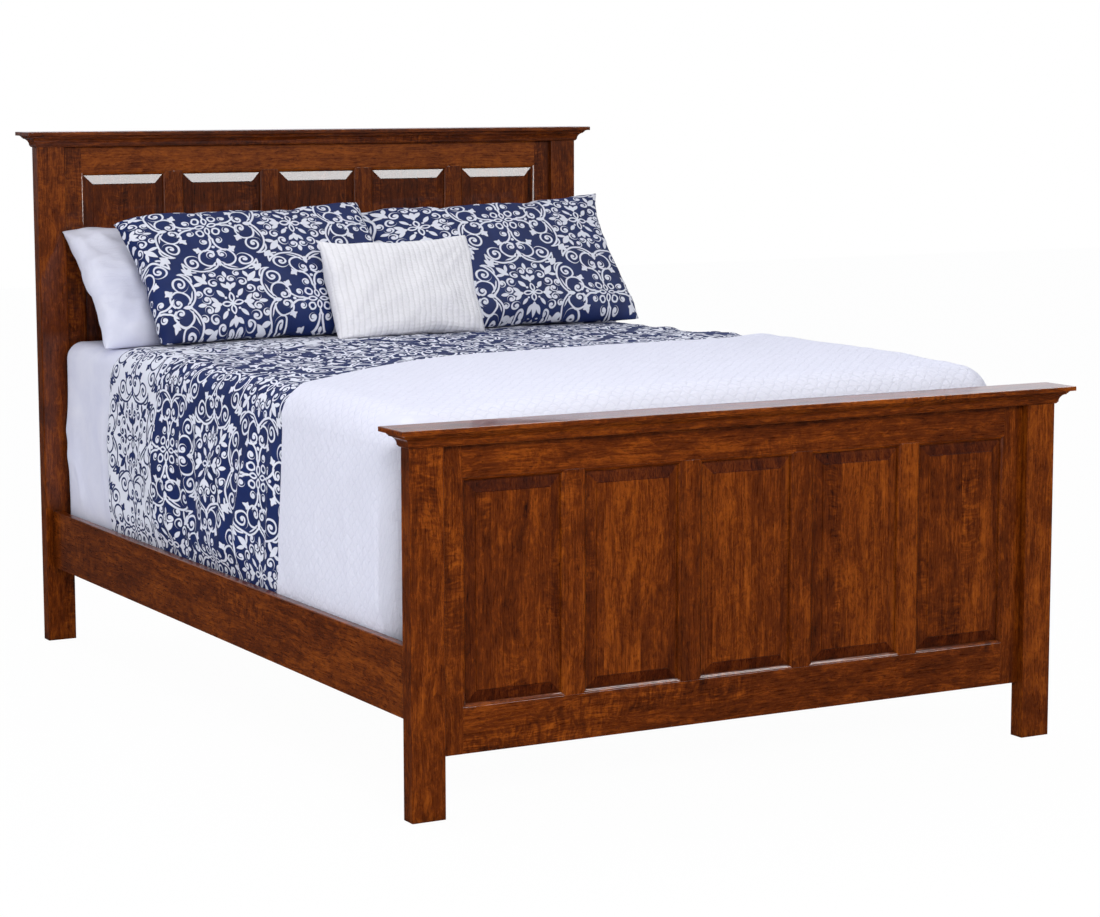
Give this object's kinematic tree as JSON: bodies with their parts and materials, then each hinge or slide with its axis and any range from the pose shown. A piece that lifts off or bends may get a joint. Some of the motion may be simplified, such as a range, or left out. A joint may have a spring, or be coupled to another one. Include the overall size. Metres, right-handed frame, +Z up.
{
  "type": "panel bed",
  "caption": "Dressed wooden panel bed: raised-panel head and foot ends under moulded caps, side rails that hook into the posts, slats, box spring, mattress, bedding and pillows.",
  "frame": {"origin": "on the floor, in the middle of the bed's box", "axes": "+X to the right seen from the foot, +Y from foot to head, +Z up"},
  "size_m": [1.6834, 2.2934, 1.3528],
  "materials": {
    "cherry_wood": "satin lacquer over dark reddish-brown cherry",
    "slat_wood": "planed, unfinished",
    "glide_nylon": "matt",
    "plate_steel": "zinc plated",
    "ticking": "woven ticking",
    "white_cotton": "plain woven",
    "patterned_cotton": "woven damask, white on navy",
    "quilted_cotton": "quilted in fine waves",
    "ribbed_cotton": "fine upright ribs"
  },
  "bodies": {
    "bed_frame": {"head_post_left": "cherry_wood", "head_post_right": "cherry_wood", "foot_post_left": "cherry_wood", "foot_post_right": "cherry_wood", "head_stile_left": "cherry_wood", "head_stile_right": "cherry_wood", "foot_stile_left": "cherry_wood", "foot_stile_right": "cherry_wood", "head_mullion_1": "cherry_wood", "head_mullion_2": "cherry_wood", "head_mullion_3": "cherry_wood", "head_mullion_4": "cherry_wood", "foot_mullion_1": "cherry_wood", "foot_mullion_2": "cherry_wood", "foot_mullion_3": "cherry_wood", "foot_mullion_4": "cherry_wood", "head_panel_1": "cherry_wood", "head_panel_2": "cherry_wood", "head_panel_3": "cherry_wood", "head_panel_4": "cherry_wood", "head_panel_5": "cherry_wood", "foot_panel_1": "cherry_wood", "foot_panel_2": "cherry_wood", "foot_panel_3": "cherry_wood", "foot_panel_4": "cherry_wood", "foot_panel_5": "cherry_wood", "head_bottom_rail": "cherry_wood", "head_top_rail": "cherry_wood", "foot_bottom_rail": "cherry_wood", "foot_top_rail": "cherry_wood", "head_cap_board": "cherry_wood", "foot_cap_board": "cherry_wood", "head_cap_moulding": "cherry_wood", "foot_cap_moulding": "cherry_wood", "side_rail_left": "cherry_wood", "side_rail_right": "cherry_wood", "cleat_left": "slat_wood", "cleat_right": "slat_wood", "slat_1": "slat_wood", "slat_2": "slat_wood", "slat_3": "slat_wood", "slat_4": "slat_wood", "slat_5": "slat_wood", "center_leg_front": "slat_wood", "center_leg_rear": "slat_wood", "post_slot_plates": "plate_steel", "rail_hook_plates": "plate_steel"},
    "mattress_set": {"box_spring": "ticking", "mattress": "ticking", "sheet": "white_cotton", "duvet": "patterned_cotton", "quilt": "quilted_cotton"},
    "pillow_right": {"pillow_right": "white_cotton"},
    "pillow_left": {"pillow_left": "white_cotton"},
    "sham_right": {"sham_right": "patterned_cotton"},
    "sham_left": {"sham_left": "patterned_cotton"},
    "throw_pillow": {"throw_pillow": "ribbed_cotton"},
    "leveling_foot_front": {"leveling_foot_front": "glide_nylon"},
    "leveling_foot_rear": {"leveling_foot_rear": "glide_nylon"}
  },
  "joints": [
    {"name": "mattress_set_lift", "type": "slide", "parent": "bed_frame", "child": "mattress_set", "axis": [0, 0, 1], "range_m": [0, 0.18]},
    {"name": "pillow_right_lift", "type": "slide", "parent": "mattress_set", "child": "pillow_right", "axis": [0, -0.6, 0.8], "range_m": [0, 0.3]},
    {"name": "pillow_left_lift", "type": "slide", "parent": "pillow_right", "child": "pillow_left", "axis": [0, -0.6, 0.8], "range_m": [0, 0.3]},
    {"name": "sham_right_lift", "type": "slide", "parent": "pillow_left", "child": "sham_right", "axis": [0, -0.6, 0.8], "range_m": [0, 0.3]},
    {"name": "sham_left_lift", "type": "slide", "parent": "sham_right", "child": "sham_left", "axis": [0, -0.6, 0.8], "range_m": [0, 0.3]},
    {"name": "throw_pillow_lift", "type": "slide", "parent": "sham_left", "child": "throw_pillow", "axis": [0, -0.6, 0.8], "range_m": [0, 0.3]},
    {"name": "leveling_foot_front_thread", "type": "slide", "parent": "bed_frame", "child": "leveling_foot_front", "axis": [0, 0, 1], "range_m": [0, 0.012]},
    {"name": "leveling_foot_rear_thread", "type": "slide", "parent": "bed_frame", "child": "leveling_foot_rear", "axis": [0, 0, 1], "range_m": [0, 0.012]}
  ]
}
